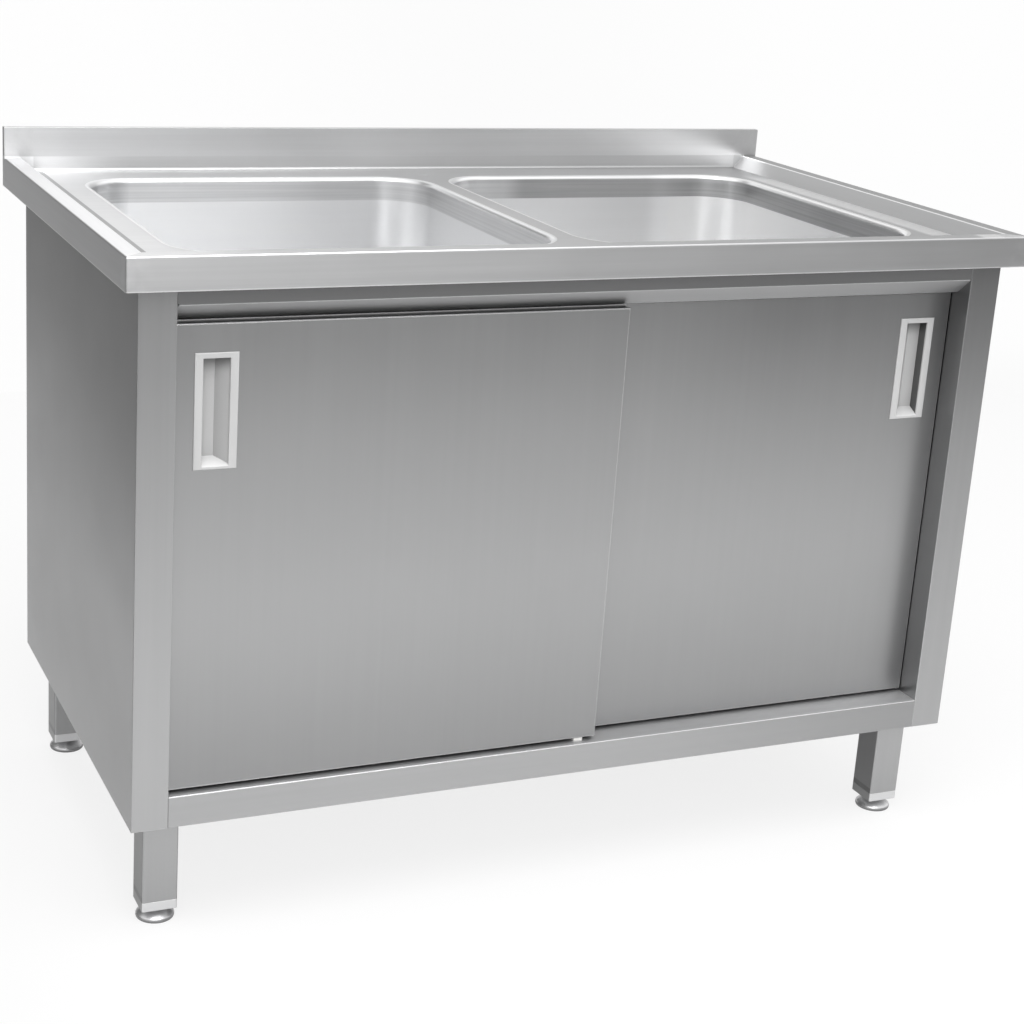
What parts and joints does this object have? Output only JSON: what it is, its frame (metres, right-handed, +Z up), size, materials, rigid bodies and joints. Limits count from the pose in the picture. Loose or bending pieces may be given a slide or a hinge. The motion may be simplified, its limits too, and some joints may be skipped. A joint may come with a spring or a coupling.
{
  "type": "kitchen sink unit",
  "caption": "Free-standing stainless steel sink unit: pressed bowls in a marine-edge worktop with upstand, over a cabinet with sliding doors on levelling feet.",
  "frame": {"origin": "middle of the footprint, on the floor", "axes": "+X along the length to the right seen from the front, -Y towards the user, +Z up"},
  "size_m": [1.2, 0.7, 0.892],
  "materials": {
    "worktop_steel": "fine brushed",
    "bowl_steel": "satin pressed",
    "waste_steel": "turned",
    "seal_rubber": "matt",
    "nut_plastic": "moulded",
    "frame_steel": "fine brushed",
    "panel_steel": "fine brushed",
    "track_steel": "plain rolled",
    "fastener_steel": "bright",
    "guide_nylon": "natural nylon",
    "door_steel": "fine brushed",
    "cup_plastic": "moulded satin",
    "hanger_steel": "plain rolled",
    "roller_nylon": "natural nylon",
    "leg_steel": "fine brushed",
    "insert_steel": "ground",
    "foot_steel": "satin chrome"
  },
  "bodies": {
    "cabinet": {"worktop": "worktop_steel", "left_bowl": "bowl_steel", "right_bowl": "bowl_steel", "left_waste": "waste_steel", "left_waste_strainer": "waste_steel", "left_waste_gasket": "seal_rubber", "left_waste_nut": "nut_plastic", "right_waste": "waste_steel", "right_waste_strainer": "waste_steel", "right_waste_gasket": "seal_rubber", "right_waste_nut": "nut_plastic", "divider_rail": "frame_steel", "left_side_panel": "panel_steel", "right_side_panel": "panel_steel", "back_panel": "panel_steel", "back_screws": "fastener_steel", "bottom_shelf": "frame_steel", "shelf_rail": "frame_steel", "header": "frame_steel", "front_track": "track_steel", "rear_track": "track_steel", "track_screws": "fastener_steel", "door_guide": "guide_nylon", "guide_screws": "fastener_steel", "front_left_leg": "leg_steel", "front_left_leg_insert": "insert_steel", "front_right_leg": "leg_steel", "front_right_leg_insert": "insert_steel", "back_left_leg": "leg_steel", "back_left_leg_insert": "insert_steel", "back_right_leg": "leg_steel", "back_right_leg_insert": "insert_steel", "leg_bolts": "fastener_steel", "leg_nuts": "fastener_steel"},
    "left_door": {"left_door_skin": "door_steel", "left_door_lining": "door_steel", "left_handle_cup": "cup_plastic", "left_outer_hanger": "hanger_steel", "left_inner_hanger": "hanger_steel", "left_roller_axles": "fastener_steel", "left_hanger_screws": "fastener_steel"},
    "left_outer_roller": {"left_outer_roller": "roller_nylon"},
    "left_inner_roller": {"left_inner_roller": "roller_nylon"},
    "right_door": {"right_door_skin": "door_steel", "right_door_lining": "door_steel", "right_handle_cup": "cup_plastic", "right_outer_hanger": "hanger_steel", "right_inner_hanger": "hanger_steel", "right_roller_axles": "fastener_steel", "right_hanger_screws": "fastener_steel"},
    "right_outer_roller": {"right_outer_roller": "roller_nylon"},
    "right_inner_roller": {"right_inner_roller": "roller_nylon"},
    "front_left_foot": {"front_left_foot": "foot_steel"},
    "front_right_foot": {"front_right_foot": "foot_steel"},
    "back_left_foot": {"back_left_foot": "foot_steel"},
    "back_right_foot": {"back_right_foot": "foot_steel"}
  },
  "joints": [
    {"name": "left_door_slide", "type": "slide", "parent": "cabinet", "child": "left_door", "axis": [1, 0, 0], "range_m": [0, 0.49]},
    {"name": "left_outer_roller_spin", "type": "hinge", "parent": "left_door", "child": "left_outer_roller", "pos_m": [-0.4642, -0.2875, 0.7863], "axis": [0, 1, 0], "continuous": true},
    {"name": "left_inner_roller_spin", "type": "hinge", "parent": "left_door", "child": "left_inner_roller", "pos_m": [-0.032, -0.2875, 0.7863], "axis": [0, 1, 0], "continuous": true},
    {"name": "right_door_slide", "type": "slide", "parent": "cabinet", "child": "right_door", "axis": [1, 0, 0], "range_m": [-0.49, 0]},
    {"name": "right_outer_roller_spin", "type": "hinge", "parent": "right_door", "child": "right_outer_roller", "pos_m": [0.4642, -0.2615, 0.7863], "axis": [0, 1, 0], "continuous": true},
    {"name": "right_inner_roller_spin", "type": "hinge", "parent": "right_door", "child": "right_inner_roller", "pos_m": [0.032, -0.2615, 0.7863], "axis": [0, 1, 0], "continuous": true},
    {"name": "front_left_foot_slide", "type": "slide", "parent": "cabinet", "child": "front_left_foot", "axis": [0, 0, 1], "range_m": [-0.02, 0]},
    {"name": "front_right_foot_slide", "type": "slide", "parent": "cabinet", "child": "front_right_foot", "axis": [0, 0, 1], "range_m": [-0.02, 0]},
    {"name": "back_left_foot_slide", "type": "slide", "parent": "cabinet", "child": "back_left_foot", "axis": [0, 0, 1], "range_m": [-0.02, 0]},
    {"name": "back_right_foot_slide", "type": "slide", "parent": "cabinet", "child": "back_right_foot", "axis": [0, 0, 1], "range_m": [-0.02, 0]}
  ],
  "couplings": [
    {"joint": "left_outer_roller_spin", "follows": "left_door_slide", "rad_per_m": 100},
    {"joint": "left_inner_roller_spin", "follows": "left_door_slide", "rad_per_m": 100},
    {"joint": "right_outer_roller_spin", "follows": "right_door_slide", "rad_per_m": 100},
    {"joint": "right_inner_roller_spin", "follows": "right_door_slide", "rad_per_m": 100}
  ]
}
